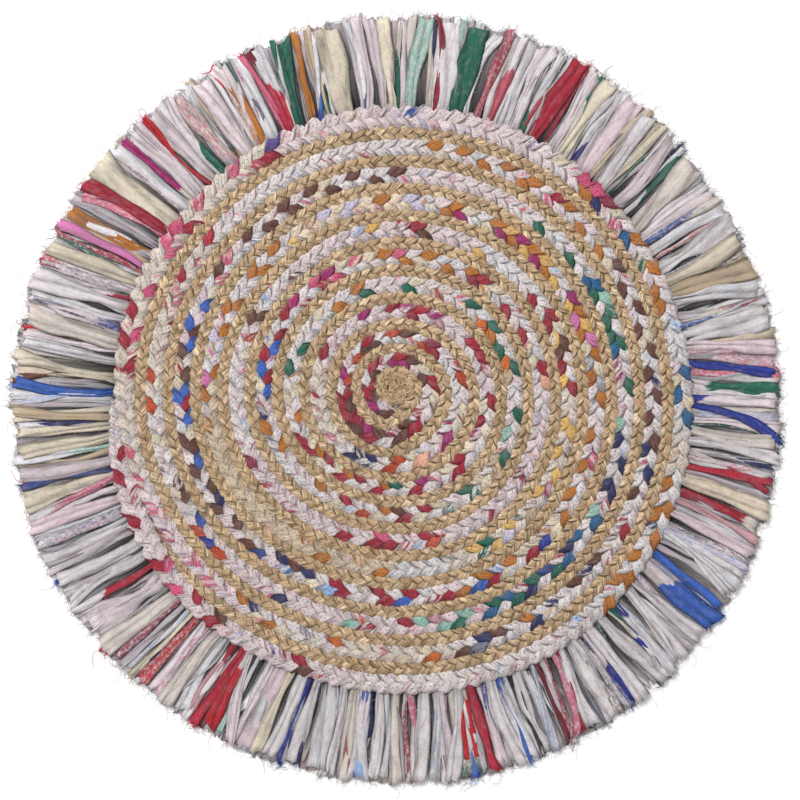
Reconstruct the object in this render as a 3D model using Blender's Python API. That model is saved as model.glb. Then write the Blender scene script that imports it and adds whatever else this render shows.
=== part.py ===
"""A round braided rug with a rag fringe, lying flat on a floor.

A jute plait and a plait of cotton rags lie side by side in one flat spiral,
which widens clockwise as seen from above and is sewn at every seam. Cut rag
strips fan out from the rim all round. Lengths are metres, angles degrees.
"""

import math
import random

import bmesh
import bpy
from mathutils import Vector

# The two plaits
JUTE_WIDTH = 0.0143
JUTE_THICK = 0.0080
RAG_WIDTH = 0.0166
RAG_THICK = 0.0086
SEAM_GAP = 0.0003          # clear space between neighbours at a seam
SHOULDER = 0.22            # share of a plait's width that its round top drops over
FLANK = 0.50               # height of a plait's upright flank, as a share of its thickness
TIP_WIDTH = 0.0010         # width of a plait's worked-in end

# The spiral, by the angle turned since the middle
STEPS_PER_TURN = 36
STEP_DEG = 360 / STEPS_PER_TURN
START_DEG = 74             # direction in which the jute begins
CORE_RADIUS = 0.0020       # the small eye that the first turn is wound round
FAN_DEG = 570              # turn over which the jute plait fans out
JUTE_ENDS = 4190
RAG_JOINS = 490
RAG_ENDS = 4220
JOIN_TAPER = 60            # turn over which the rag plait reaches its width
JUTE_END_TAPER = 20        # turn over which the jute narrows to its outer end
RAG_END_TAPER = 30
RAG_END_SPREAD = 0.30      # how much wider the rag plait lies where the jute has ended
RIM_SPREAD = 0.24          # how much wider it lies along the first part of the rim
RIM_SPREAD_FROM = 3820
RIM_SPREAD_TO = 4030
PITCH = JUTE_WIDTH + RAG_WIDTH + 2 * SEAM_GAP
EVEN_EDGE = 0.0236         # the even spiral's rim radius where the rag plait joins in
EVEN_PITCH = 0.0316        # how far the even spiral widens in a turn
EVEN_OFFSET = 0.0107       # how far the even spiral's middle lies from the eye
EVEN_OFFSET_DEG = 279
GIVE = 0.14                # share of its width that a plait spreads or draws in by
LOBE = 0.0076              # how far the rim bulges, most at one side
LOBE_DEG = 310
LOBE_FROM = 2660           # the turns inside this one have no bulge
DENTS = (
    # direction, reach to each side, depth, angle turned where it begins
    (138, 24, 0.0054, 1840),
    (250, 42, 0.0107, 970),
)
DENT_GROWTH = 720          # turn over which a dent grows to its depth

# The fringe
LOCKS_PER_STEP = 6
STRIP_DEPTH = 0.0030       # the band that the locks are fused to
STRIP_THICK = 0.0050
FRINGE_LENGTH = 0.1085
LENGTH_SPREAD = 0.0065
ROOT_SHARE = 0.62          # share of its pitch that a lock's root fills
TIP_GAP = 0.0026           # mean clear space between two tips
LEAN_REACH = 0.0075        # how far a tip may lie off its own radius
LEAN_WAVES = ((3, 0.6, 0.4), (5, 0.4, 2.1))      # waves round the rim, share, phase

LOCK_SECTIONS = (
    # name, share of the length, share of the spread, thickness, extra on a full lock
    ("belly", 0.42, 0.55, 0.0044, 0.0022),
    ("tip", 1.00, 1.00, 0.0022, 0.0008),
)

MATERIALS = {
    # name: colour, roughness
    "jute": ((0.55, 0.37, 0.17, 1.0), 0.92),
    "cotton_rag": ((0.66, 0.61, 0.60, 1.0), 0.95),
    "fringe_rag": ((0.72, 0.68, 0.67, 1.0), 0.95),
}


def cleared_scene():
    """Take every object out of the scene."""
    for thing in list(bpy.data.objects):
        bpy.data.objects.remove(thing, do_unlink=True)


def material(name):
    """A plain cloth finish, from the table of materials."""
    colour, roughness = MATERIALS[name]
    finish = bpy.data.materials.new(name)
    finish.use_nodes = True
    shader = finish.node_tree.nodes["Principled BSDF"]
    shader.inputs["Base Color"].default_value = colour
    shader.inputs["Roughness"].default_value = roughness
    shader.inputs["Metallic"].default_value = 0.0
    return finish


def eased(share):
    """A soft ramp from 0 to 1 as the share goes from 0 to 1."""
    held = min(max(share, 0.0), 1.0)
    return held * held * (3 - 2 * held)


def around(turned, radius, height):
    """The point at this radius and height, after turning clockwise from the start."""
    angle = math.radians(START_DEG - turned)
    return Vector((radius * math.cos(angle), radius * math.sin(angle), height))


def jute_left(turned):
    """Share of the jute plait's width that is left as it narrows to its outer end."""
    return eased((JUTE_ENDS - turned) / JUTE_END_TAPER)


def jute_width(turned):
    """The jute plait's width: it fans out over its first turns and narrows at its end."""
    share = min(turned / FAN_DEG, jute_left(turned))
    return TIP_WIDTH + (JUTE_WIDTH - TIP_WIDTH) * share


def rim_spread(turned):
    """How much wider the rag plait lies here along the rim, as a share of its width."""
    opening = eased((turned - RIM_SPREAD_FROM) / JOIN_TAPER)
    closing = eased((RIM_SPREAD_TO - turned) / JOIN_TAPER)
    return RIM_SPREAD * min(opening, closing)


def rag_width(turned):
    """The rag plait's width: narrow where it joins in and at its end, spread past the jute."""
    opening = eased((turned - RAG_JOINS) / JOIN_TAPER)
    closing = min((RAG_ENDS - turned) / RAG_END_TAPER, 1.0)
    spread = RAG_WIDTH * (1 + RAG_END_SPREAD * (1 - jute_left(turned)) + rim_spread(turned))
    return TIP_WIDTH + (spread - TIP_WIDTH) * min(opening, closing)


def dents_at(turned):
    """How far the aimed rim is drawn in here by its dents, which every further turn follows."""
    depth = 0.0
    for direction, reach, deepest, begins in DENTS:
        away = (START_DEG - turned - direction + 180) % 360 - 180
        depth += deepest * eased((turned - begins) / DENT_GROWTH) * math.exp(-((away / reach) ** 2))
    return depth


def give_of(turned, inner):
    """How much wider or narrower both plaits lie here, so that the turns even out.

    The rim they aim for is an even spiral whose middle lies a little off the eye,
    with a bulge at one side and a few dents.
    """
    if turned < RAG_JOINS + JOIN_TAPER or turned > JUTE_ENDS - JUTE_END_TAPER:
        return 1.0
    off_axis = math.radians(START_DEG - turned - EVEN_OFFSET_DEG)
    off_lobe = math.radians(START_DEG - turned - LOBE_DEG)
    grown = max((turned - LOBE_FROM) / (JUTE_ENDS - LOBE_FROM), 0.0)
    rim = EVEN_EDGE + EVEN_PITCH * (turned - RAG_JOINS) / 360
    rim += EVEN_OFFSET * math.cos(off_axis)
    rim += LOBE * grown * max(math.cos(off_lobe), 0.0) ** 2 - dents_at(turned)
    wanted = (rim - inner) / (PITCH - SEAM_GAP)
    return min(max(wanted, 1 - GIVE), 1 + GIVE)


def wound_spiral():
    """Wind both plaits outwards, each turn against the one before.

    Returns the jute's rows, the rag's rows and the edge radius after each step. A
    row is (angle turned, inner radius, outer radius).
    """
    jute_rows = []
    rag_rows = []
    edges = []
    for step in range(round(RAG_ENDS / STEP_DEG) + 1):
        turned = step * STEP_DEG
        edge = CORE_RADIUS
        if step >= STEPS_PER_TURN:
            edge = edges[step - STEPS_PER_TURN] + SEAM_GAP
        give = give_of(turned, edge)
        if turned <= JUTE_ENDS:
            inner = edge
            edge = inner + jute_width(turned) * give
            jute_rows.append((turned, inner, edge))
        if turned >= RAG_JOINS:
            inner = edge + SEAM_GAP if turned <= JUTE_ENDS else edge
            edge = inner + rag_width(turned) * give
            rag_rows.append((turned, inner, edge))
        edges.append(edge)
    return jute_rows, rag_rows, edges


def plait_section(row, full_width, thick):
    """Six corners of a plait: a flat underside, upright flanks and a rounded top."""
    turned, inner, outer = row
    width = outer - inner
    top = thick * (0.35 + 0.65 * min(width / full_width, 1.0))
    drop = width * SHOULDER
    corners = (
        (inner, 0.0),
        (outer, 0.0),
        (outer, top * FLANK),
        (outer - drop, top),
        (inner + drop, top),
        (inner, top * FLANK),
    )
    return [around(turned, radius, height) for radius, height in corners]


def extruded(work, face, corners):
    """Extrude one face and put its corners on the given points."""
    moved = bmesh.ops.extrude_discrete_faces(work, faces=[face])["faces"][0]
    for corner, point in zip(moved.verts, corners):
        corner.co = point
    return moved


def finished_object(name, work, finish):
    """Turn the worked mesh into a named object with its faces out."""
    bmesh.ops.recalc_face_normals(work, faces=work.faces)
    mesh = bpy.data.meshes.new(name)
    work.to_mesh(mesh)
    work.free()
    mesh.materials.append(material(finish))
    mesh.shade_smooth()
    mesh.set_sharp_from_angle(angle=math.radians(50))
    thing = bpy.data.objects.new(name, mesh)
    bpy.context.scene.collection.objects.link(thing)
    return thing


def plait(name, rows, full_width, thick, finish):
    """One plait, its section extruded along the spiral."""
    work = bmesh.new()
    sections = [plait_section(row, full_width, thick) for row in rows]
    first = [work.verts.new(point) for point in sections[0]]
    end = work.faces.new(first)
    for section in sections[1:]:
        end = extruded(work, end, section)
    work.faces.new(first)
    return finished_object(name, work, finish)


def rim_corners(edges):
    """The rim's corners, one for each step of the last turn, in the order wound."""
    last = len(edges) - 1
    corners = []
    for step in range(last - STEPS_PER_TURN + 1, last + 1):
        corners.append(around(step * STEP_DEG, edges[step] + SEAM_GAP, 0.0))
    return corners


def strip_points(edges, chance):
    """Points along the strip's inner side, two for each lock.

    They lie on the straight runs between the rim's corners, so the strip stays
    parallel to the plait it is sewn to. A lock's root runs from an even point to
    the odd one after it.
    """
    corners = rim_corners(edges)
    points = []
    for index, corner in enumerate(corners):
        following = corners[(index + 1) % len(corners)]
        for lock in range(LOCKS_PER_STEP):
            root_end = lock + ROOT_SHARE + chance.uniform(-0.08, 0.08)
            points.append(corner.lerp(following, lock / LOCKS_PER_STEP))
            points.append(corner.lerp(following, root_end / LOCKS_PER_STEP))
    return points


def raised(point, height):
    """The same point at another height."""
    return Vector((point.x, point.y, height))


def outward(point):
    """The level direction from the middle to a point."""
    return raised(point, 0.0).normalized()


def fringe_strip(work, inner):
    """The closed strip round the rim; returns its outer faces, one for each gap of points."""
    outer = [point + outward(point) * STRIP_DEPTH for point in inner]
    rings = (
        [work.verts.new(raised(point, 0.0)) for point in inner],
        [work.verts.new(raised(point, 0.0)) for point in outer],
        [work.verts.new(raised(point, STRIP_THICK)) for point in outer],
        [work.verts.new(raised(point, STRIP_THICK)) for point in inner],
    )
    outer_faces = []
    count = len(inner)
    for index in range(count):
        after = (index + 1) % count
        for side in range(4):
            low = rings[side]
            high = rings[(side + 1) % 4]
            face = work.faces.new((low[index], low[after], high[after], high[index]))
            if side == 1:
                outer_faces.append(face)
    return outer_faces


def lean_of(angle):
    """How far a tip lies off its own radius: slow waves round the rim, so neighbours agree."""
    return LEAN_REACH * sum(share * math.sin(waves * angle + phase) for waves, share, phase in LEAN_WAVES)


def lock_of_fringe(work, root, pitch_share, length, full):
    """One lock: its root face extruded through the table of sections.

    Each section is level underneath and widens from the root to a tip that fills
    its share of the pitch there, less the clear space between tips.
    """
    corners = [corner.co.copy() for corner in root.verts]
    middle = sum((raised(corner, 0.0) for corner in corners), Vector()) / 4
    ray = outward(middle)
    side = Vector((-ray.y, ray.x, 0.0))
    root_half = max((raised(corner, 0.0) - middle).dot(side) for corner in corners)
    tip_radius = middle.length + length
    tip_half = tip_radius * pitch_share / 2 - TIP_GAP / 2
    lean = lean_of(math.atan2(middle.y, middle.x))
    face = root
    for _, along, spread, thick, extra in LOCK_SECTIONS:
        half = root_half + (tip_half - root_half) * spread
        centre = middle + ray * length * along + side * lean * along
        top = thick + extra * full
        points = []
        for corner in corners:
            sign = math.copysign(1.0, (raised(corner, 0.0) - middle).dot(side))
            height = top if corner.z > 0 else 0.0
            points.append(centre + side * half * sign + Vector((0.0, 0.0, height)))
        face = extruded(work, face, points)


def fringe(name, edges, finish):
    """All the rag locks, fused at their roots to one narrow strip round the rim."""
    chance = random.Random(7)
    work = bmesh.new()
    faces = fringe_strip(work, strip_points(edges, chance))
    pitch_share = math.radians(STEP_DEG) / LOCKS_PER_STEP
    for root in faces[::2]:
        length = FRINGE_LENGTH + chance.uniform(-LENGTH_SPREAD, LENGTH_SPREAD)
        lock_of_fringe(work, root, pitch_share, length, chance.random())
    return finished_object(name, work, finish)


def centred(things):
    """Move every point so that the rug's box is centred on the origin."""
    points = [corner.co for thing in things for corner in thing.data.vertices]
    middle_x = (min(point.x for point in points) + max(point.x for point in points)) / 2
    middle_y = (min(point.y for point in points) + max(point.y for point in points)) / 2
    for thing in things:
        for corner in thing.data.vertices:
            corner.co.x -= middle_x
            corner.co.y -= middle_y


def main():
    """Build the rug."""
    cleared_scene()
    jute_rows, rag_rows, edges = wound_spiral()
    things = [
        plait("jute_braid", jute_rows, JUTE_WIDTH, JUTE_THICK, "jute"),
        plait("rag_braid", rag_rows, RAG_WIDTH, RAG_THICK, "cotton_rag"),
        fringe("fringe", edges, "fringe_rag"),
    ]
    centred(things)


main()
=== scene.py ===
"""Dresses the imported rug: plaited jute and rag strands, sewn seams and a fringe of rag strips.

Every new piece is a surface worked out with numpy. A plait is three strands, each a
soft oval section carried along the spiral while it weaves from edge to edge. The
fringe is many creased strips, each a function of the place along and across it.
Lengths are metres and angles degrees unless a name says otherwise.
"""

import math

import bpy
import numpy as np
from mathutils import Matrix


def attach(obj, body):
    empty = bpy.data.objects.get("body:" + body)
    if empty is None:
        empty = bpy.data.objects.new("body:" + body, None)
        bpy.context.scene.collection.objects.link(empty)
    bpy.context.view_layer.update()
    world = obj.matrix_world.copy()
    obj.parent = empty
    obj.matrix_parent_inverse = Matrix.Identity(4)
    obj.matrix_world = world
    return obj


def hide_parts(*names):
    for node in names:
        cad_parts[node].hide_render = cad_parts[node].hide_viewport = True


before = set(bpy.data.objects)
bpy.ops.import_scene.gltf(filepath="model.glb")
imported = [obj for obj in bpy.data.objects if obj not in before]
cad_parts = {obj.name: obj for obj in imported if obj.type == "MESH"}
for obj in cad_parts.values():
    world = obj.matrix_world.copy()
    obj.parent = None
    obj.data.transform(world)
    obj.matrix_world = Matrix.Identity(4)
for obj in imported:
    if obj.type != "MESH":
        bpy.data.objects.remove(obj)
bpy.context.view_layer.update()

TAU = 2 * math.pi

# Where things are, in the frame of the solids
EYE = np.array((-0.007364, 0.014864))            # the middle of the first coil
START_DEG = 74                                   # direction in which the jute begins
RAYS = 36                                        # corners of the solids in each turn
STEP_DEG = 360 / RAYS
RAG_JOINS = 490                                  # angle turned where the rag plait begins
EYE_FUZZ = 0.019                                 # radius of the loose fibres over the eye
UNDERSIDE = 0.0001                               # what lies lower than this is underneath
SAME_CORNER = 0.0001                             # corners closer than this are one corner
PLAN_CENTRE = np.array((-0.0028, 0.0068))        # the point that the rag plan's angles are about
PLAN_ZERO = 4034                                 # angle turned at which the plan's turn A begins
FRINGE_CENTRE = np.array((-0.0005, 0.0034))      # the point that the fringe plan's angles are about

# Camera, light and floor
VIEW_CENTRE = (-0.0005, -0.0001)                 # the point that the camera is above
VIEW_ACROSS = 0.9232                             # width of floor that the picture shows
CAMERA_HEIGHT = 4.0
SENSOR_MM = 36.0
ROOM_LIGHT = 0.62
SOFTBOX_WIDTH = 2.4
SOFTBOX_WATTS = 262.0
SOFTBOX_PLACE = (-2.6, 3.2, 4.2)
FLOOR_HALF = 6.0

# One strand of each plait. A period is the length in which it weaves from an edge back to it.
JUTE = {
    "full_width": 0.0143, "thick": 0.0080, "period": 0.0428, "steps": 16, "sides": 8,
    "reach": 0.0048, "lift": 0.0019, "half_width": 0.0057, "half_thick": 0.0024,
    "square": 0.34, "snap": 1.35, "seed": 11, "crumple": 0.08, "swell": 0.0, "uneven": 1.9,
}
RAG = {
    "full_width": 0.0166, "thick": 0.0086, "period": 0.0512, "steps": 17, "sides": 10,
    "reach": 0.0065, "lift": 0.0020, "half_width": 0.0061, "half_thick": 0.0026,
    "square": 0.42, "snap": 1.15, "seed": 23, "crumple": 0.09, "swell": 0.10, "uneven": 1.4,
}
EDGE_TURN = 1.2            # how suddenly a strand turns over at the plait's edge
CROSS_TILT = 0.16          # radians that a strand tilts by where it crosses the middle
PLATEAU = 1.7              # how flat a strand lies on top before it dives under
RIM_FROM = 3820            # angle turned from which the rag plait is the outermost one
WARMTH = np.array((1.035, 1.00, 0.965))   # the plaited rag's ground, against its named colour
PARTLY = 0.54              # share of a dye's cover where the plan says ~
TONE_SPOTS = 4000          # chance tones kept ready for each jute strand, one for a lozenge

# Sewing, and the thickness of threads
SEAM_PITCH = 0.00165       # hop from one corner of the zigzag to the next
SEAM_SWING = (-0.0016, 0.0021)     # where its corners lie, inwards and outwards of the seam
SEAM_HEIGHT = 0.0072
SEAM_SLACK = 8             # degrees after the rag plait's beginning at which the sewing starts
HOLE_PITCH = 0.0033        # from needle hole to needle hole
HOLE_INSET = 0.0026        # from the plait's edge to the row of holes
# the dark inside a needle hole is painted shade
HOLE_RADII = (0.00030, 0.00070)    # a hole is dark within the first, and gone past the second
SEWING_RADIUS = 0.00022
FIBRE_RADIUS = 0.00030
FRAYED_END_RADIUS = 0.00023
FRAYED_SIDE_RADIUS = 0.00018

# Fringe
TUCK = 0.005               # length of a strip that is hidden under the rim
REACH_MM = (444, 436, 440, 440, 434, 440, 448, 455, 450, 453, 453, 453)   # see fringe_limits
STRIP_THICK = 0.0005
ALONG = 13                 # points along a strip
ACROSS = 11                # points across it
STRIP_TOP = 0.0092         # no strip rises past this
WORN_COVER = 0.62          # how much of a worn strip its dye covers
PRINT_COVER = 0.45         # how much of a printed one
PLAN_RADIUS = 0.43         # distance from the middle at which the plan's widths are measured
NARROW = 0.0062            # half width under which a planned strip is a narrow one
SHORTENED = 0.018          # what a strip lacks that the plan calls short

# Colours by name: sRGB, and how much of the cloth the dye covers
PALETTE = {
    "white": (212, 206, 208, 1.0),
    "cool": (206, 204, 208, 1.0),
    "blush": (212, 199, 203, 1.0),
    "oat": (206, 197, 188, 1.0),
    "mauve": (182, 173, 180, 1.0),
    "cream": (208, 198, 177, 1.0),
    "beige": (200, 184, 162, 1.0),
    "tan": (184, 163, 136, 1.0),
    "grey": (160, 158, 165, 0.9),
    "slate": (110, 112, 128, 0.9),
    "black": (34, 34, 38, 1.0),
    "lilac": (196, 186, 208, 1.0),
    "crimson": (148, 24, 46, 1.0),
    "cherry": (172, 30, 54, 1.0),
    "dullred": (165, 70, 85, 0.75),
    "darkred": (100, 18, 32, 1.0),
    "plum": (132, 34, 62, 1.0),
    "red": (180, 22, 36, 1.0),
    "rose": (196, 92, 120, 0.66),
    "dusty": (188, 146, 152, 0.9),
    "pink": (196, 78, 116, 0.80),
    "palepink": (214, 194, 201, 1.0),
    "orchid": (200, 112, 165, 0.9),
    "magenta": (150, 28, 98, 1.0),
    "brown": (94, 56, 44, 1.0),
    "mustard": (174, 106, 38, 1.0),
    "yellow": (216, 172, 98, 0.95),
    "orange": (196, 98, 36, 0.95),
    "rust": (176, 66, 32, 1.0),
    "peach": (222, 165, 138, 0.9),
    "sand": (220, 204, 182, 1.0),
    "green": (14, 94, 76, 1.0),
    "mint": (136, 176, 162, 0.8),
    "teal": (30, 92, 138, 1.0),
    "blue": (44, 78, 150, 0.95),
    "cobalt": (48, 92, 176, 1.0),
    "royal": (30, 50, 140, 1.0),
    "denim": (54, 70, 126, 1.0),
    "sky": (140, 168, 212, 0.7),
    "navy": (30, 38, 84, 1.0),
    "indigo": (44, 42, 112, 1.0),
    "violet": (84, 70, 134, 0.85),
    "jute": (224, 196, 156, 1.0),
}
GROUNDS = ("white", "cool", "blush", "oat", "mauve", "cream", "beige", "tan", "palepink", "sand")

# Which dyed rag shows in each turn of the plait, from the rim (Z) inwards, with a blank line
# between turns: a colour, then the angles at which it shows, each on the outer (o) or inner (i)
# side of the plait. A colour with ~ covers only part of what shows there. "all" gives the
# ground colour from one angle to another.
RAG_PLAN = """
Z: all blush 185-260, all white 260-312, all cool 312-344, all oat 344-352, ~rose 187o 191o 203i 210i,
crimson 193i 197o 206o 214o 226i 230o 250i, ~crimson 201i 247i 255o, pink 218i 222o, brown 232i 252o,
~violet 243i 246o, ~rust 309o, mustard 316o 319i 322o 326i 330o 334i 338o 341i, ~navy 331i, ~yellow 345o,
~mustard 349i, teal 356o 360i

A: all cool 5-18, all blush 60-118, all oat 118-200, all blush 200-235, all oat 255-282, all white 282-360,
teal 0i 4o 35i 86o, mustard 18i 22i 25o 29i 34o 47i 54i 231i 240o 301i, ~green 27i, rose 37i 127o 136o 149i
192o 197o 206o 213o 217o 221i 226o, denim 38o, cream 40o, plum 42o, navy 43i 290i 302o 342o 349i, pink 45o
50o 143o 145o 158i 166i, ~rose 53i 58o 61o 66i 68o 71i 76o, ~violet 63o, ~blue 89o, violet 118o, crimson
118i 141i 162o 170o 174i 329o, dullred 122i, ~crimson 176o 178i 332i, ~dullred 183i, ~pink 230i,
~mustard 208i, ~yellow 222i 306o, ~navy 235i 252i 294o 308i 317i, ~slate 249i, orange 255i 277o,
~orange 268o, beige 262i 270o 275i, brown 285o 289o 293i 312i 319i 338i 350o 355i 360o, slate 287o,
~brown 328i, ~magenta 339o

B: all white 85-140, all oat 140-180, all blush 225-285, all white 300-360, brown 0o 5i 9o 14i 19o 24i 29o
205i, ~navy 3o 58o 288i, ~pink 21i, mustard 34i 43i 47o 51i 56o 60i 64o 69i 73o 78i 83o, tan 38o,
crimson 49o 88i 151o 273i, rose 54i 156i 237o, ~rose 76i 85i 247o, ~slate 98i 201o, ~crimson 96i 107i 145i
159o 165i 264o 299o 304i 314i 331o 341o, cherry 141o, rust 175o 184o 213o 222o, ~brown 196o 202i,
~dusty 204o 357i, ~sky 210o, blue 214i, royal 219o, ~peach 217i, ~dullred 232i 242i, navy 241o 305o 317i
333o 338i 344o 348i, mint 258o 277i 281o 287i 291o 328i 354i, ~rust 259i, dusty 279i,
green 284o 296i 301o 306i 312o, teal 294o 299i 300i 314o 320i 326o, denim 309i, ~mint 321o

C: all white 50-60, all blush 60-90, green 3o 14o 15i 18i 25i 40i 51i, ~green 8i 20o 34o,
~magenta 5i 9i 346o, teal 11i 27o 32i, mint 24o, ~mint 44i 47o, brown 91o 97i 101o 107i 112o 118i 123o 129i
135o 145o 163i 168o 174i 180o 185i 191o 196i 202o 208i 213o 218i 224o 236o 240i, ~brown 139i,
~navy 106o 150i, rose 142o 148i, cream 152i, palepink 153o 159i 164o 179i, cobalt 155i 161o 167i 171o 177i
182o 188i 199i 272o 294o 318i, ~rose 170i, ~crimson 174o 265o 279o 324o, ~cobalt 205o 239o,
navy 211i 233i 244i, ~slate 221i 358i, denim 228o, sand 246o, sky 249o 299i, ~sky 283o 301o, crimson 181i
251i 256o 263i 268o 273i 286o 297o 312o, mustard 289o 296i 306i 324o 329i 341i 348i 358o, royal 316o,
~mustard 315i 335o, rose 343o

D: all sand 83-125, all white 125-165, all beige 180-268, all cool 268-285, all oat 285-360, mustard 0o 5i
11o 18i 23o 29i 41i 48o 52i 59o 64i 71o 76i 93o 130o 136i 142o 149i 154o 160i 172i 178o 247o 263o,
grey 3o 9i, orchid 15o 22i 174o, yellow 19o 25i 31o 37i 43o 48i 54o 298i 305o 312i 325i 332o 339i 346o 352i,
magenta 27o 45i 50o 56i 69i, ~magenta 33i 330o 357o, ~yellow 61i 78i 87i 125i, ~mustard 80o 119o 191o 223i
239i 256i 275i, lilac 83i 88o 102o 108i 113o 162o 309o, ~orchid 95i 168o, tan 188i 201i 212i 241i 320o,
~mauve 186o, ~green 287i 297o 317i, green 302i, ~brown 342o

E: all cool 40-62, all blush 62-130, all white 130-200, all blush 200-345, crimson 1o 9i 16o 23i 29o 37i 83o
209o 248o 260o 269o 279i, yellow 4i 61i 97o, ~yellow 10o 18i, brown 14i 19o 82i 148i 155o, green 31o,
~grey 33o 45i, ~brown 70i 101i 133i 359o, ~crimson 91o 102i 203i 211o 218o 224o 234i 246i 275o 284i 305o,
~rust 159i, cream 165i, plum 207o, ~magenta 216i, pink 264i, rust 281o, ~plum 323o 329i,
~dusty 346i 349o 356o, mauve 351i, ~peach 337o

F: peach 3o, crimson 9o 27i 40i 47i 55o 147o 155i 162o 172i 246i 268i 276o 283i 294o,
~crimson 36o 125i 138i 179o 187i, ~mustard 50i 84i 319o, mustard 60o 67i 76o 93o 196o 206i 228i 265i,
plum 57i, rose 89o 111o, ~rose 105i, pink 118i 128o, magenta 123o 141o 157o, cobalt 159i 169o 178i,
~cobalt 154o, ~orchid 165i, ~navy 187o, ~slate 204o, ~orange 237o 334i, rust 254o, brown 273i,
beige 260o 288i 309i, ~green 297o 311o 323i, green 303i 329o 350o, tan 327i, mint 341i

G: green 12o 23i 34o 53o 86i 109i 154i 165o 269i, tan 10i 31i, orange 16i 37i, ~mint 20o, mustard 30i 69o
114o 124i 193i 216i 239i 249i 261i, ~peach 52i 62o, ~rust 71i, ~mustard 76o 170i, ~green 134i 202i, crimson
208o 212o 223i 234o 245i 256o 280o 305o 317i 342i 358o, magenta 284i 307i, rose 292i, ~magenta 295o 335i,
~crimson 334o, sand 275i 299i 323i 340o 350i

H: all blush 0-160, all oat 160-222, ~crimson 17o 149o 169i 185o, crimson 22o 34o 42o 81i 97o 153o,
~dullred 8i, ~grey 21i, ~rose 46o, dusty 57i, ~magenta 60o 86o 92i 137i 323i 350o, cherry 70o,
magenta 117o 314o, cream 212i 330o, navy 228o 244i, ~navy 237i 240o, rust 259o 275i, peach 293o, ~peach 308i,
~rust 340o

I: rust 14o 68i 90o 133i 140i 165i, ~crimson 25o 102o 342o, crimson 44i 62o 122o 182i 194o 200o 218i 232o
244o 283o 300o, plum 53o 171o, brown 84o 110i 125i 197i 213o 248i 273o 290i, ~brown 151i 352o,
magenta 157o 228i, ~crimson 140o 265i 318i, ~magenta 178o 257o

J: crimson 17o 90o 135o 166i 185o, brown 20i 60o 150i 195i 232o 243o 340i, magenta 75i 107i 205o,
~magenta 125i, palepink 222i, ~crimson 115o 262i 285o 315o
"""

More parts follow.
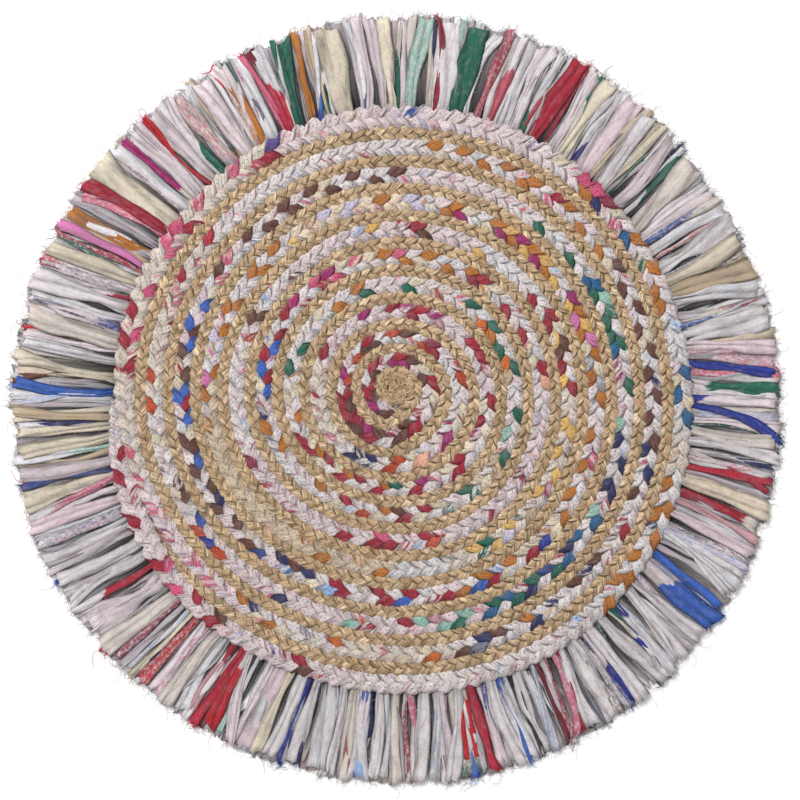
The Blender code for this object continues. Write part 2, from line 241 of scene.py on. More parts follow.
# The strips that show in the fringe: root>tip in degrees, width at the tip in degrees, colour,
# then how it is dyed and lies. root and tip limit the dye to that share of the strip from
# that end. worn and print are speckled. up lies over its neighbours, and short is cut short.
FRINGE_PLAN = """
3.0>1.0 2.4 green tip75, 1.0>0 2 white, 3.6>2.4 1.2 white, 5.0>3.3 2.4 rose worn, 7.2>3.7 1.4 royal up,
8.7>5.6 2.6 rose print, 10.2>7.5 2.6 palepink up, 10.8>9.6 1.6 beige, 12.2>12.4 4.0 white up,
14.0>15.0 1.8 blue root50 worn, 15.0>15.3 1.1 crimson tip40 worn, 16.5>15.9 1.6 white, 19.5>17.2 2.8 cool up,
18.2>18.8 1.6 white, 21.0>20.2 3.4 tan up, 23.0>22.4 1.2 brown print, 23.4>25.0 2.7 cream up,
24.6>26.3 0.8 violet print, 26.3>27.8 3.2 white up, 28.4>29.0 0.8 rose print, 29.9>30.5 2.4 cool,
32.2>31.8 1.3 blue root70 worn up, 33.0>32.9 2.2 blush, 34.0>35.0 1.6 white, 35.6>36.0 0.9 grey,
35.8>38.4 3.6 oat up, 39.4>41.2 1.1 green tip65, 41.2>42.3 0.6 navy tip60, 40.6>41.4 1.0 sky root40 print,
42.1>43.2 2.3 blush up, 44.4>44.3 0.7 green root60, 45.6>45.8 1.8 cream, 46.6>47.0 1.5 cream,
46.2>48.5 2.4 white up, 49.2>48.9 1.8 beige, 51.3>51.3 3.3 palepink, 53.0>54.0 1.4 mauve, 54.6>54.9 1.2 cool,
53.6>53.2 1.3 indigo root28, 56.0>56.1 2.3 cream up, 57.2>57.4 1.0 green tip35, 58.4>58.6 1.6 blush print,
59.2>59.7 1.2 blush, 60.3>60.2 0.6 crimson, 63.1>61.6 2.9 cherry up, 65.1>64.3 1.0 green root30,
65.8>62.9 0.7 cherry root60, 64.6>64.5 1.4 cool, 66.3>66.0 1.5 white, 67.5>67.4 1.8 blush,
69.0>68.6 1.6 cool, 70.4>69.3 1.5 white up, 71.2>70.0 1.2 green tip55 worn, 72.1>70.9 1.7 dullred root65 up,
72.8>72.0 1.2 blush, 74.8>73.1 1.5 cherry worn up, 76.8>75.0 1.8 cool, 79.2>77.8 3.4 green up,
80.2>80.2 1.2 mint tip60 worn, 82.4>82.4 4.4 white, 83.4>84.2 0.9 crimson up, 83.9>84.6 0.7 navy tip70,
85.0>85.2 0.9 oat, 88.0>85.9 2.5 mint worn up, 88.6>88.3 1.4 oat, 89.6>89.7 1.3 blush,
90.5>89.9 0.7 green root60, 91.3>92.7 2.2 cream up, 93.1>94.9 1.7 blush up, 96.4>96.7 1.7 blush,
97.2>98.2 1.3 cool, 97.4>97.4 1.0 violet root20, 100.6>101.3 4.2 cream up, 103.2>103.6 1.2 plum tip20,
104.1>104.3 1.3 tan, 106.2>103.2 0.8 cobalt root28 up, 104.0>103.6 1.4 green root40, 107.4>106.2 1.3 mustard,
110.6>108.0 2.2 green up, 111.2>109.8 0.8 green tip60, 110.8>109.2 1.6 cool, 112.0>111.6 1.6 mauve,
112.3>113.9 2.0 darkred, 112.8>114.9 1.1 rose, 112.2>113.0 2.4 cherry root55 up, 116.1>115.8 2.6 cool,
117.3>117.0 0.6 slate tip70, 117.7>117.8 1.0 green tip30, 117.6>117.6 1.0 green root15,
118.4>118.3 1.4 mustard root75 up, 119.9>119.5 1.4 mustard root65 worn, 120.3>120.0 1.4 cherry tip14,
121.8>122.3 3.0 blush up, 123.7>124.1 1.4 tan print, 125.1>126.8 2.8 rose print up,
125.2>125.4 2.2 violet root16, 125.6>125.6 1.6 mauve tip50, 127.5>127.9 1.5 green root42 up,
128.6>129.2 1.7 white, 130.4>131.0 2.6 blush, 131.2>132.8 0.9 red up, 133.5>133.5 1.7 palepink,
134.6>134.6 1.6 blush, 135.6>135.6 1.8 blush, 136.4>137.3 1.2 magenta tip75, 138.1>138.8 2.6 cool,
139.4>139.2 0.8 crimson print, 142.0>142.2 4.4 cream up, 144.6>145.9 2.3 crimson up,
145.8>147.6 1.6 rose worn up, 148.2>148.3 2.0 mauve print, 150.0>150.6 2.3 mustard tip80,
151.0>151.2 1.2 white, 152.3>152.3 1.6 tan print, 153.3>153.7 1.6 orchid up,
154.6>154.8 0.8 green tip70 worn, 155.0>154.8 0.8 crimson worn, 156.2>156.8 2.4 cream up,
158.4>158.7 2.2 crimson tip28 worn, 158.5>159.0 1.8 slate print, 158.9>159.6 0.9 green root18,
159.5>161.0 1.2 crimson root25, 162.0>162.0 3.2 white up, 164.0>164.1 1.7 cool, 165.3>165.2 0.6 navy worn,
169.4>166.9 3.6 oat up, 166.8>165.9 1.6 royal root38 worn, 168.0>167.9 2.4 blue tip08,
169.7>169.1 1.2 red tip27, 170.3>170.3 1.8 blush, 173.0>171.4 1.8 cool up, 172.5>172.5 1.3 oat,
176.0>173.2 1.7 cream up, 177.1>174.9 1.2 cream up, 176.0>176.0 1.3 beige, 176.9>177.0 1.0 brown,
178.9>178.0 1.7 cobalt up, 180.6>179.6 1.6 cool, 180.2>180.4 1.2 sky print, 180.0>180.2 0.9 blue root16,
181.2>180.9 1.3 mauve, 184.0>182.0 1.7 tan up, 182.2>183.3 1.2 cream, 184.7>184.3 1.2 navy root80,
185.7>185.4 1.8 cream, 187.5>188.1 2.3 cream up, 189.5>189.3 1.4 mint root52 worn, 190.2>190.1 1.4 tan print,
192.3>191.6 2.4 blush up, 192.6>192.8 0.7 cherry tip08, 194.3>193.3 1.1 denim up, 195.2>195.9 3.4 cream,
195.3>198.5 1.3 rose root78 worn up, 197.8>198.9 1.2 blush, 200.1>199.6 2.4 palepink up,
201.2>201.1 1.1 cool, 202.3>202.0 2.0 violet print, 202.7>202.6 0.7 rose print, 204.5>204.8 2.6 white up,
206.5>206.5 1.6 mauve, 209.3>208.3 2.2 white up, 208.2>208.4 1.4 royal tip05, 210.8>210.8 1.6 mauve,
212.0>212.0 1.8 cool, 214.1>213.2 1.1 cherry root66 up, 216.6>216.4 4.6 blush,
217.4>217.2 0.7 crimson root14, 221.6>220.2 3.0 oat up, 220.7>220.8 1.5 cherry tip05,
222.8>222.6 1.1 plum worn up, 223.9>223.8 1.3 mauve print, 225.3>225.0 0.9 sky print, 226.0>225.9 1.0 cream,
226.8>226.7 0.6 navy, 227.5>227.6 1.9 cherry worn up, 229.0>229.6 1.5 blush, 230.6>230.9 1.4 rose print,
232.8>232.5 2.4 oat up, 234.2>234.8 2.2 cool, 236.3>236.0 1.2 crimson root36, 236.6>236.4 1.3 dusty tip70,
238.1>237.3 1.5 cherry up, 238.5>238.5 1.1 darkred tip52, 239.1>239.9 2.4 red tip72 up,
241.5>241.5 1.0 mint tip36 worn, 239.6>243.7 1.9 blush up, 244.2>244.1 2.0 blush, 246.0>245.6 1.6 cool,
246.4>246.1 3.2 palepink root36 worn, 248.8>247.6 2.1 cream up, 250.9>249.8 2.6 white up,
252.4>251.7 1.0 royal, 254.1>253.1 2.2 white up, 254.9>254.6 1.0 navy, 256.5>257.0 3.2 cool up,
259.0>259.1 2.1 white, 261.0>261.3 2.0 oat, 261.8>261.6 0.9 dullred tip42 worn, 262.1>262.6 2.0 white,
263.8>263.8 1.9 sky tip36, 264.4>264.2 0.6 navy root60, 263.6>264.3 2.1 cobalt root24 up,
266.0>265.8 1.8 white up, 267.3>267.5 1.3 cool, 269.4>269.2 1.9 oat, 271.2>271.1 0.9 plum tip85 worn,
272.0>272.1 1.1 rose root50 worn, 274.8>272.8 2.4 white up, 276.8>275.2 1.7 sky print, 277.6>276.6 1.4 white,
281.3>277.6 2.2 white up, 278.2>278.0 1.6 palepink tip12, 281.0>281.2 4.2 green tip20 worn,
281.4>281.3 1.6 cobalt tip30, 282.9>282.8 1.2 mauve, 282.2>281.4 3.0 red tip78 short up,
283.4>284.7 2.2 cherry up, 285.5>285.8 1.9 palepink tip60 worn, 286.4>286.0 1.7 royal root50 worn,
287.4>287.2 1.1 mauve, 287.8>288.7 2.4 white up, 288.5>290.0 0.6 cobalt up, 289.6>291.0 2.2 cool,
290.1>290.3 2.4 blue root20 worn up, 291.8>291.8 0.8 black, 293.0>292.9 2.2 white, 294.2>293.8 1.5 cool,
296.8>293.8 1.2 sky print up, 295.0>294.8 0.9 navy root34, 296.6>295.8 1.0 darkred up, 296.4>296.4 1.5 mauve,
297.9>297.0 1.4 white, 301.0>297.7 1.4 rose worn up, 299.2>297.2 0.9 crimson worn,
301.8>298.7 1.1 crimson up, 301.0>300.2 1.3 brown worn, 302.8>300.5 2.0 white up, 303.1>302.4 0.6 slate,
305.0>303.6 3.0 white, 306.0>305.0 1.2 navy print, 307.7>307.7 1.1 royal tip46 up,
307.4>307.2 0.9 denim worn, 307.0>306.4 1.1 slate print, 309.1>309.0 2.3 white up,
311.2>310.6 0.7 green root52 worn, 312.3>313.4 2.4 white up, 312.0>312.2 0.8 navy tip25,
313.9>313.7 1.0 royal tip50, 314.6>313.4 0.8 green root56 up, 315.1>314.3 1.0 denim root48 up,
315.6>314.8 0.7 green, 316.0>315.0 1.7 indigo root24 up, 316.2>315.9 1.2 sky print, 319.8>316.4 1.3 white up,
320.3>317.9 2.0 white up, 319.4>319.8 1.6 cool, 321.7>321.6 2.0 white up, 323.5>322.5 1.5 slate print,
326.3>324.4 3.6 cobalt tip62, 328.8>326.8 1.3 cobalt up, 329.6>329.0 1.3 mauve, 332.5>328.9 1.5 white up,
333.4>330.6 1.8 cool up, 331.0>331.0 1.4 mauve tip40, 334.2>332.1 1.2 white up, 333.8>333.5 1.7 sky print,
335.0>334.7 1.3 navy print, 336.9>335.9 1.9 palepink worn up, 338.3>336.9 1.7 cool, 339.8>338.0 1.3 dusty up,
341.2>339.7 2.0 crimson root85 up, 341.0>340.8 2.0 mauve tip50, 343.8>342.4 2.8 sand up,
345.0>344.7 1.7 mauve, 346.1>347.0 1.3 cherry up, 349.6>345.6 0.9 crimson tip60 up, 348.0>347.8 1.5 white,
348.9>348.2 1.4 rose print, 349.5>349.4 0.8 navy tip40, 351.3>350.8 2.1 white up, 352.0>351.9 0.7 slate,
353.8>352.9 2.4 oat up, 354.3>353.8 0.8 green worn, 355.5>355.1 1.7 blush, 358.8>353.8 1.6 royal up,
357.1>356.8 1.9 sky print, 358.4>358.0 1.7 oat, 359.9>359.0 1.5 royal root20 up, 359.5>359.7 1.2 mauve
"""


# Small helpers

def linear(name):
    """A named colour as linear red, green and blue."""
    share = np.array(PALETTE[name][:3]) / 255
    return np.where(share <= 0.04045, share / 12.92, ((share + 0.055) / 1.055) ** 2.4)


def ripple(place, seed, waves=5):
    """A smooth wandering value from -1 to 1: a sum of sines with seeded lengths and phases."""
    chance = np.random.default_rng(seed)
    lengths = chance.uniform(0.6, 2.6, waves)
    phases = chance.uniform(0, TAU, waves)
    total = sum(np.sin(length * place + phase) for length, phase in zip(lengths, phases))
    return total / (waves * 0.62)


def eased(share):
    """A soft ramp from 0 to 1: three times the share's square less twice its cube."""
    held = np.clip(share, 0, 1)
    return held * held * (3 - 2 * held)


def unit(vectors):
    """Vectors scaled to length 1."""
    return vectors / np.maximum(np.linalg.norm(vectors, axis=-1, keepdims=True), 1e-12)


def toward(bearing):
    """Level directions of length 1: the cosine and sine of bearings in radians."""
    return np.stack((np.cos(bearing), np.sin(bearing)), axis=-1)


def colours(*names):
    """Several named colours, one to a row."""
    return np.array([linear(name) for name in names])


def placed(name, data):
    """A new object in the scene, at the origin and unturned."""
    made = bpy.data.objects.new(name, data)
    bpy.context.scene.collection.objects.link(made)
    return made


def grid_faces(count, rows, columns, closed):
    """Quads of several grids of rows by columns of points; closed joins the last column to the first."""
    row = np.arange(rows - 1)[:, None]
    column = np.arange(columns if closed else columns - 1)[None, :]
    after = (column + 1) % columns
    quad = np.stack(np.broadcast_arrays(
        row * columns + column, row * columns + after,
        (row + 1) * columns + after, (row + 1) * columns + column), axis=-1).reshape(-1, 4)
    return (quad[None] + (np.arange(count) * rows * columns)[:, None, None]).reshape(-1, 4)


def cap_faces(count, rows, columns):
    """One many-sided face at each end of several closed grids."""
    ring = np.arange(columns)
    first = np.arange(count)[:, None] * rows * columns
    return first + ring[::-1], first + (rows - 1) * columns + ring


def piece_from(name, points, faces, slot, finish, **attributes):
    """A smooth mesh object from points and arrays of faces, with its attributes, on its body."""
    corners = np.concatenate([group.ravel() for group in faces]).astype(np.int32)
    sizes = np.concatenate([np.full(len(group), group.shape[1]) for group in faces])
    mesh = bpy.data.meshes.new(name)
    mesh.vertices.add(points.size // 3)
    mesh.vertices.foreach_set("co", points.astype(np.float32).ravel())
    mesh.loops.add(len(corners))
    mesh.loops.foreach_set("vertex_index", corners)
    mesh.polygons.add(len(sizes))
    mesh.polygons.foreach_set("loop_start", (np.cumsum(sizes) - sizes).astype(np.int32))
    mesh.polygons.foreach_set("use_smooth", np.ones(len(sizes), bool))
    mesh.update(calc_edges=True)
    for key, values in attributes.items():
        values = np.asarray(values, np.float32)
        if values.ndim == 1:
            mesh.attributes.new(key, "FLOAT", "POINT").data.foreach_set("value", values)
        else:
            layer = mesh.attributes.new(key, "FLOAT_VECTOR", "POINT")
            layer.data.foreach_set("vector", values.ravel())
    mesh.materials.append(finish)
    piece = placed(name, mesh)
    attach(piece, "root")
    return piece


# The spiral, read from the solids

def corner_points(node):
    """Every corner of a solid."""
    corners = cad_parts[node].data.vertices
    points = np.empty(len(corners) * 3, np.float32)
    corners.foreach_get("co", points)
    return points.reshape(-1, 3).astype(float)


def windings(node, begins):
    """Rows of (angle turned, inner radius, outer radius) from the underside of a wound solid.

    On each ray from the eye the underside's corners come in pairs, one for each turn.
    """
    points = corner_points(node)
    low = points[points[:, 2] < UNDERSIDE][:, :2] - EYE
    radius = np.hypot(low[:, 0], low[:, 1])
    bearing = np.degrees(np.arctan2(low[:, 1], low[:, 0]))
    ray = np.round((START_DEG - bearing) / STEP_DEG).astype(int) % RAYS
    rows = []
    for index in range(RAYS):
        radii = np.sort(radius[ray == index])
        pairs = radii[np.r_[True, np.diff(radii) > SAME_CORNER]].reshape(-1, 2)
        first = index * STEP_DEG + 360 * math.ceil((begins - index * STEP_DEG) / 360)
        rows.append(np.c_[first + 360 * np.arange(len(pairs)), pairs])
    rows = np.concatenate(rows)
    return rows[np.argsort(rows[:, 0])]


def softened(values, reach):
    """A running mean over reach samples each way, with the ends held."""
    padded = np.pad(values, reach, mode="edge")
    return np.convolve(padded, np.ones(2 * reach + 1) / (2 * reach + 1), mode="valid")


def course_of(rows, kind):
    """Stations along a plait, evenly spaced in the phase of its plaiting.

    The phase is the running sum of the length over the period, which narrows with the plait.
    """
    fine_deg = 0.5
    turned = np.arange(rows[0, 0], rows[-1, 0], fine_deg)
    inner, outer = (softened(np.interp(turned, rows[:, 0], rows[:, edge]), 10) for edge in (1, 2))
    middle = (inner + outer) / 2
    width = outer - inner
    hop = np.hypot(np.gradient(middle), middle * math.radians(fine_deg))
    share = np.clip(width / kind["full_width"], 0.5, 1.05)
    phase = np.cumsum(hop * TAU / (kind["period"] * share))
    stations = np.arange(phase[0], phase[-1], TAU / kind["steps"])
    fine = {"turned": turned, "middle": middle, "width": width, "along": np.cumsum(hop)}
    return {"phase": stations} | {key: np.interp(stations, phase, fine[key]) for key in fine}


def place_on(turned, radius):
    """Level positions at these angles turned and radii."""
    return EYE + toward(np.radians(START_DEG - turned)) * radius[..., None]


# Plaits

def pressed(height, middle, room):
    """Heights pressed softly towards a flat top and underside.

    The share of the room is divided by the fifth root of 1 plus its fifth power.
    """
    share = (height - middle) / room
    return middle + room * share / (1 + np.abs(share) ** 5) ** 0.2


def strand_surface(course, kind, number):
    """One strand: a soft oval section carried along a path that weaves from edge to edge.

    Across the plait the path is tanh(snap * sin(phase)), so the strand follows an edge and
    then crosses over steeply. Up and down the path is tanh(PLATEAU * sin(2 * phase)), so
    the strand runs outwards on top and back underneath. The section is a superellipse, the
    sine and cosine of the way round it to the power square, creased by two waves, and it
    turns over at each edge. Seeded ripples of its length make it uneven. The second result
    is the place on the strand: along it, across it and through it.
    """
    along = course["along"]
    uneven = kind["uneven"]
    def rippled(length, which):
        return ripple(along / length, kind["seed"] + 20 * number + which)
    phase = course["phase"] + TAU * number / 3
    phase = phase + uneven * (0.12 * rippled(0.030, 0) + 0.08 * rippled(0.009, 1))
    swell = kind["swell"] * eased((course["turned"] - RIM_FROM) / 60)
    share = np.clip(course["width"] / kind["full_width"], 0.10, 1.30) * (1 + swell)
    small = np.clip(share, 0.3, 1.0)
    reach = kind["reach"] * share * (1 + 0.08 * rippled(0.04, 2))
    centre = course["middle"] + 0.012 * swell + 0.0004 * ripple(along / 0.035, kind["seed"] + 3)
    radius = centre + reach * np.tanh(kind["snap"] * np.sin(phase)) / math.tanh(kind["snap"])
    middle = kind["thick"] / 2
    height = middle * small + kind["lift"] * small * np.tanh(PLATEAU * np.sin(2 * phase)) / math.tanh(PLATEAU)
    height = height + 0.0003 * rippled(0.012, 4)
    line = np.c_[place_on(course["turned"], radius), height]
    forward = unit(np.gradient(line, axis=0))
    up = unit(np.array((0, 0, 1.0)) - forward * forward[:, 2:3])
    side = np.cross(up, forward)
    turn = -(1 - np.tanh(EDGE_TURN * np.cos(phase)) / math.tanh(EDGE_TURN)) * math.pi / 2
    tilt = CROSS_TILT * np.cos(phase) + 0.12 * uneven * rippled(0.009, 5)
    turn = (turn + tilt)[:, None]
    wide = side * np.cos(turn) + up * np.sin(turn)
    thin = up * np.cos(turn) - side * np.sin(turn)
    round_it = np.arange(kind["sides"]) * TAU / kind["sides"]
    across = np.sign(np.cos(round_it)) * np.abs(np.cos(round_it)) ** kind["square"]
    over = np.sign(np.sin(round_it)) * np.abs(np.sin(round_it)) ** kind["square"]
    fullness = 1 + 0.11 * uneven * rippled(0.011, 6)
    creased = 1 + kind["crumple"] * (
        np.sin(3 * round_it + 2.5 * rippled(0.014, 7)[:, None])
        + 0.6 * np.sin(4 * round_it + 4 * rippled(0.008, 8)[:, None]))
    half = (kind["half_width"] * share * fullness)[:, None] * creased
    deep = (kind["half_thick"] * small)[:, None] * creased
    points = (line[:, None, :]
              + wide[:, None, :] * (half * across)[..., None]
              + thin[:, None, :] * (deep * over)[..., None])
    room = (middle * small)[:, None]
    points[..., 2] = pressed(points[..., 2], room, room * 1.06) + 0.0003
    local = np.stack((
        np.broadcast_to(along[:, None], half.shape), half * across, deep * over + number * 0.1), axis=-1)
    return points, local


def lozenges(course, number):
    """The number of the visible lozenge at each station, counted along one strand."""
    phase = course["phase"] + TAU * number / 3
    return np.floor((phase + math.pi / 4) / math.pi).astype(int)


def plan_angle(turned, radius):
    """Angle about the plan's centre, running on from turn to turn inwards."""
    spot = place_on(turned, radius) - PLAN_CENTRE
    bearing = np.degrees(np.arctan2(spot[..., 1], spot[..., 0]))
    nominal = PLAN_ZERO - turned
    return nominal + (bearing - nominal + 180) % 360 - 180


def plan_entries(text):
    """Rows (colour, share covered, from, to, side) of a turn's plan; side is blank for a ground."""
    rows = []
    for entry in text[len("Z: "):].replace("\n", " ").split(", "):
        words = entry.split()
        if words[0] == "all":
            low, high = words[2].split("-")
            rows.append((words[1], 1.0, float(low), float(high), ""))
            continue
        share = PARTLY if words[0][0] == "~" else 1.0
        rows += [(words[0].strip("~"), share, float(word[:-1]), 0.0, word[-1]) for word in words[1:]]
    return rows


def lozenge_table(course):
    """All visible lozenges of a plait: strand, number, plan angle, with one row for each."""
    rows = []
    for number in range(3):
        for value in np.unique(lozenges(course, number)):
            phase = math.pi / 4 + value * math.pi - TAU * number / 3
            turned = np.interp(phase, course["phase"], course["turned"])
            middle = np.interp(phase, course["phase"], course["middle"])
            rows.append((number, value, plan_angle(np.array(turned), np.array(middle)).item()))
    return np.array(rows)


def dyed_lozenges(course):
    """Table, ground, dye and cover of every lozenge of the rag plait, by chance and from the plan."""
    table = lozenge_table(course)
    chance = np.random.default_rng(5)
    grounds = colours("white", "white", "blush", "cool", "white", "cream")
    ground = grounds[chance.integers(0, len(grounds), len(table))]
    ground = ground * WARMTH * chance.uniform(0.96, 1.08, (len(table), 1))
    faint = colours("rose", "rose", "dusty", "sky", "tan")
    dye = faint[chance.integers(0, len(faint), len(table))]
    cover = np.where(chance.random(len(table)) < 0.3, 0.40, 0.0)
    sides = {"o": table[:, 1] % 2 == 0, "i": table[:, 1] % 2 == 1}
    for turn, text in enumerate(RAG_PLAN.strip().split("\n\n"), start=-1):
        for name, share, first, last, side in plan_entries(text):
            if not side:
                inside = (table[:, 2] >= first + 360 * turn) & (table[:, 2] <= last + 360 * turn)
                ground[inside] = linear(name) * WARMTH * chance.uniform(0.96, 1.08, (inside.sum(), 1))
                continue
            nearest = np.argmin(np.where(sides[side], np.abs(table[:, 2] - first - 360 * turn), np.inf))
            dye[nearest] = linear(name) * chance.uniform(0.9, 1.12)
            cover[nearest] = PALETTE[name][3] * share * chance.uniform(0.74, 0.98)
    return table, ground, dye, cover


def round_tone(columns, depth):
    """Painted shade round a strand's section: 1.02 less depth times the sixth power of the cosine, so the two
    edges, where the strand dives under its neighbours, are painted darker.
    """
    return 1.02 - depth * np.abs(np.cos(np.arange(columns) * TAU / columns)) ** 6


def plait_pieces(label, node, course, kind, slot, finish, strand_colours_and_painted_shade):
    """Three strands of a plait as three pieces, and the solid they dress is hidden.
    """
    for number in range(3):
        points, local = strand_surface(course, kind, number)
        rows, columns = points.shape[:2]
        # the strand's colours and its tone, which carries painted shade at the strand's edges
        extra = strand_colours_and_painted_shade(number, lozenges(course, number), columns)
        across = np.hypot(*(points[..., :2] - EYE).transpose(2, 0, 1)) - course["middle"][:, None]
        rim = course["width"][:, None] / 2 - np.abs(across)
        lay = np.stack((np.broadcast_to(course["along"][:, None], rim.shape), rim, across), axis=-1)
        faces = [grid_faces(1, rows, columns, True), *cap_faces(1, rows, columns)]
        piece = piece_from(
            f"{label}_strand_{number + 1}", points, faces, slot, finish,
            weft=local.reshape(-1, 3), lay=lay.reshape(-1, 3), **extra)
    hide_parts(node)


# Fringe strips

def about_centre(points):
    """Compass degrees and distances of level points about the fringe's centre, in order."""
    away = points - FRINGE_CENTRE
    compass = np.degrees(np.arctan2(away[:, 1], away[:, 0])) % 360
    order = np.argsort(compass)
    return compass[order], np.hypot(away[:, 0], away[:, 1])[order]


def fringe_limits(rows, bearing):
    """Where the rim and the tips are in a direction: two distances from the fringe's centre.

    The rim is the last turn of the solid. The tips lie REACH_MM millimetres from the rag
    plan's centre, with one value for every 30 degrees and even steps between them.
    """
    last = rows[-RAYS:]
    rim = about_centre(place_on(last[:, 0], last[:, 2]))
    compass = np.radians(np.arange(0, 360, 5))
    directions = np.arange(0, 360, 360 / len(REACH_MM))
    tip_radius = np.interp(np.degrees(compass), directions, np.array(REACH_MM) / 1000, period=360)
    tips = about_centre(PLAN_CENTRE + toward(compass) * tip_radius[:, None])
    return np.interp(bearing, *rim, period=360), np.interp(bearing, *tips, period=360)


def strip_surfaces(rows, strips, seed):
    """Many creased strips at once, each a grid of points along and across it.

    The middle line runs from its root's bearing to its tip's, with a slow wave. Across it
    the strip is arched, 1 less a power of the share of its half width, and gathered into
    folds: the power 0.7 of a sine, so with round ridges and sharp valleys, whose phase
    drifts sideways along the strip. Arch and folds flatten towards the tip while the strip
    widens. Some strips have a waist, a bell curve taken off their width. The long sides
    wave a little, and the cut end is ragged. Heights are held off the floor and below
    STRIP_TOP. strips is a dictionary of arrays with one value for each strip.
    """
    chance = np.random.default_rng(seed)
    count = len(strips["root"])
    along = np.linspace(0, 1, ALONG)[None, :, None]
    across = np.linspace(-1, 1, ACROSS)[None, None, :]
    def own(values):
        return np.asarray(values, float)[:, None, None]
    def any_of(low, high):
        return own(chance.uniform(low, high, count))
    def swing(low, high):
        return np.sin(along * any_of(low, high) + any_of(0, TAU))
    rim = fringe_limits(rows, strips["root"] % 360)[0]
    tip = fringe_limits(rows, strips["tip"] % 360)[1] + strips["extra"]
    bearing = own(strips["root"]) + own(strips["tip"] - strips["root"]) * along ** any_of(0.8, 1.4)
    bearing = np.radians(bearing[..., 0])
    ray = toward(bearing)[:, :, None, :]
    left = np.stack((-np.sin(bearing), np.cos(bearing)), axis=-1)[:, :, None, :]
    span = own(tip - rim + TUCK)
    ragged = 0.012 * np.sin(across * any_of(2, 5) + any_of(0, TAU)) + 0.03 * any_of(-1, 1) * across
    distance = own(rim - TUCK) + span * (along + ragged * along ** 2)
    root_half = own(strips["root_half"])
    tip_half = own(strips["tip_half"])
    half = root_half + (tip_half - root_half) * (1 - (1 - along) ** 1.8)
    half = half * (1 + 0.10 * swing(3, 9))
    half = half * (1 - own(strips["waist"]) * np.exp(-((along - any_of(0.2, 0.8)) / 0.17) ** 2))
    folds = own(strips["folds"]) * (1.25 - 0.45 * along)
    fold_phase = across * folds * math.pi / 2 + any_of(0, TAU) + along * any_of(-3.4, 3.4)
    ridge = np.abs(np.sin(fold_phase + 0.45 * np.sin(2 * fold_phase))) ** 0.7
    flatten = 1 - 0.40 * along
    wave = own(strips["gather"]) * flatten * (ridge - 0.6 + 0.2 * np.cos(2.3 * fold_phase + any_of(0, TAU)))
    skew = np.clip(across + any_of(-0.35, 0.35) * (1 - across ** 2), -1, 1)
    arch = own(strips["arch"]) * flatten * (1 - np.abs(skew) ** 2.4)
    sway = own(strips["bend"]) * np.sin(math.pi * along ** 0.85)
    sway = sway + own(strips["bend"]) * 0.5 * np.sin(TAU * along + any_of(0, TAU)) * along
    side_wave = swing(5, 14) * (across > 0) + swing(5, 14) * (across < 0)
    shift = sway + half * across + 0.0009 * side_wave * np.abs(across) * eased(along * 4)
    drop = np.interp(along.ravel(), (0, 0.06, 0.3, 0.7, 1.0), (0.0012, 0.0022, 0.0016, 0.0008, 0.0003))
    layer = own(strips["layer"])
    height = drop[None, :, None] + layer * 0.0012 * (0.5 + 0.5 * eased(along * 5)) + arch + wave
    height = height + 0.0006 * swing(4, 13)
    height = np.clip(height, 0.0004 + 0.0004 * layer, STRIP_TOP)
    flat = FRINGE_CENTRE + ray * distance[..., None] + left * shift[..., None]
    points = np.concatenate((flat, height[..., None]), axis=-1)
    mark = own(np.arange(count) * 0.37)
    weft = np.stack(np.broadcast_arrays(span * along, half * across, mark), axis=-1)
    return points, weft, along, span.ravel(), ridge


def strip_piece(name, rows, strips, finish, seed):
    """One layer of fringe strips as a piece; gives their points and the colour at their tips.

    The tone is painted shade and light on each strip's random tone: darker at the root, in the fold valleys,
    towards the long sides and on the layers beneath, and lighter near the tip.
    """
    points, weft, along, spans, ridge = strip_surfaces(rows, strips, seed)
    shape = points.shape[:3]
    full = np.ones(shape)
    def own(key):
        return strips[key][:, None, None]
    slant = own("slant") * np.linspace(-1, 1, ACROSS)
    fade = eased((along + slant - own("cover_from")) / 0.32 + 0.5)
    fade = fade * eased((own("cover_to") - along - slant) / 0.32 + 0.5)
    across = np.abs(np.linspace(-1, 1, ACROSS))
    # painted shade: the layers beneath are painted darker, most at the root and least at the tip
    painted_under_shade = 1 - own("painted_under_shade") * (1 - 0.75 * along ** 1.5)
    # painted shade towards the long sides and at the root, times each strip's random tone
    tone = (1 - 0.60 * across ** 6) * (0.68 + 0.32 * eased(along * 4)) * own("tone") * painted_under_shade
    # painted shade in the fold valleys, and painted light over the last part towards the tip
    tone = tone * (0.44 + 0.56 * ridge) * (1 + 0.16 * eased((along - 0.78) / 0.2))
    faces = [grid_faces(shape[0], shape[1], shape[2], False)]
    piece = piece_from(
        name, points, faces, "fringe_rag", finish,
        weft=weft.reshape(-1, 3),
        ground=(strips["ground"][:, None, None, :] * full[..., None]).reshape(-1, 3),
        dye=(strips["dye"][:, None, None, :] * full[..., None]).reshape(-1, 3),
        cover=(own("cover") * fade).ravel(),
        speckle=(own("speckle") * full).ravel(),
        tone=tone.ravel())
    body = piece.modifiers.new("cloth", "SOLIDIFY")
    body.thickness = STRIP_THICK
    body.offset = 0.0
    dyed_tip = (strips["cover"] > 0.6) & (strips["cover_to"] > 1)
    tint = np.where(dyed_tip[:, None], strips["dye"], strips["ground"])
    return points, tint


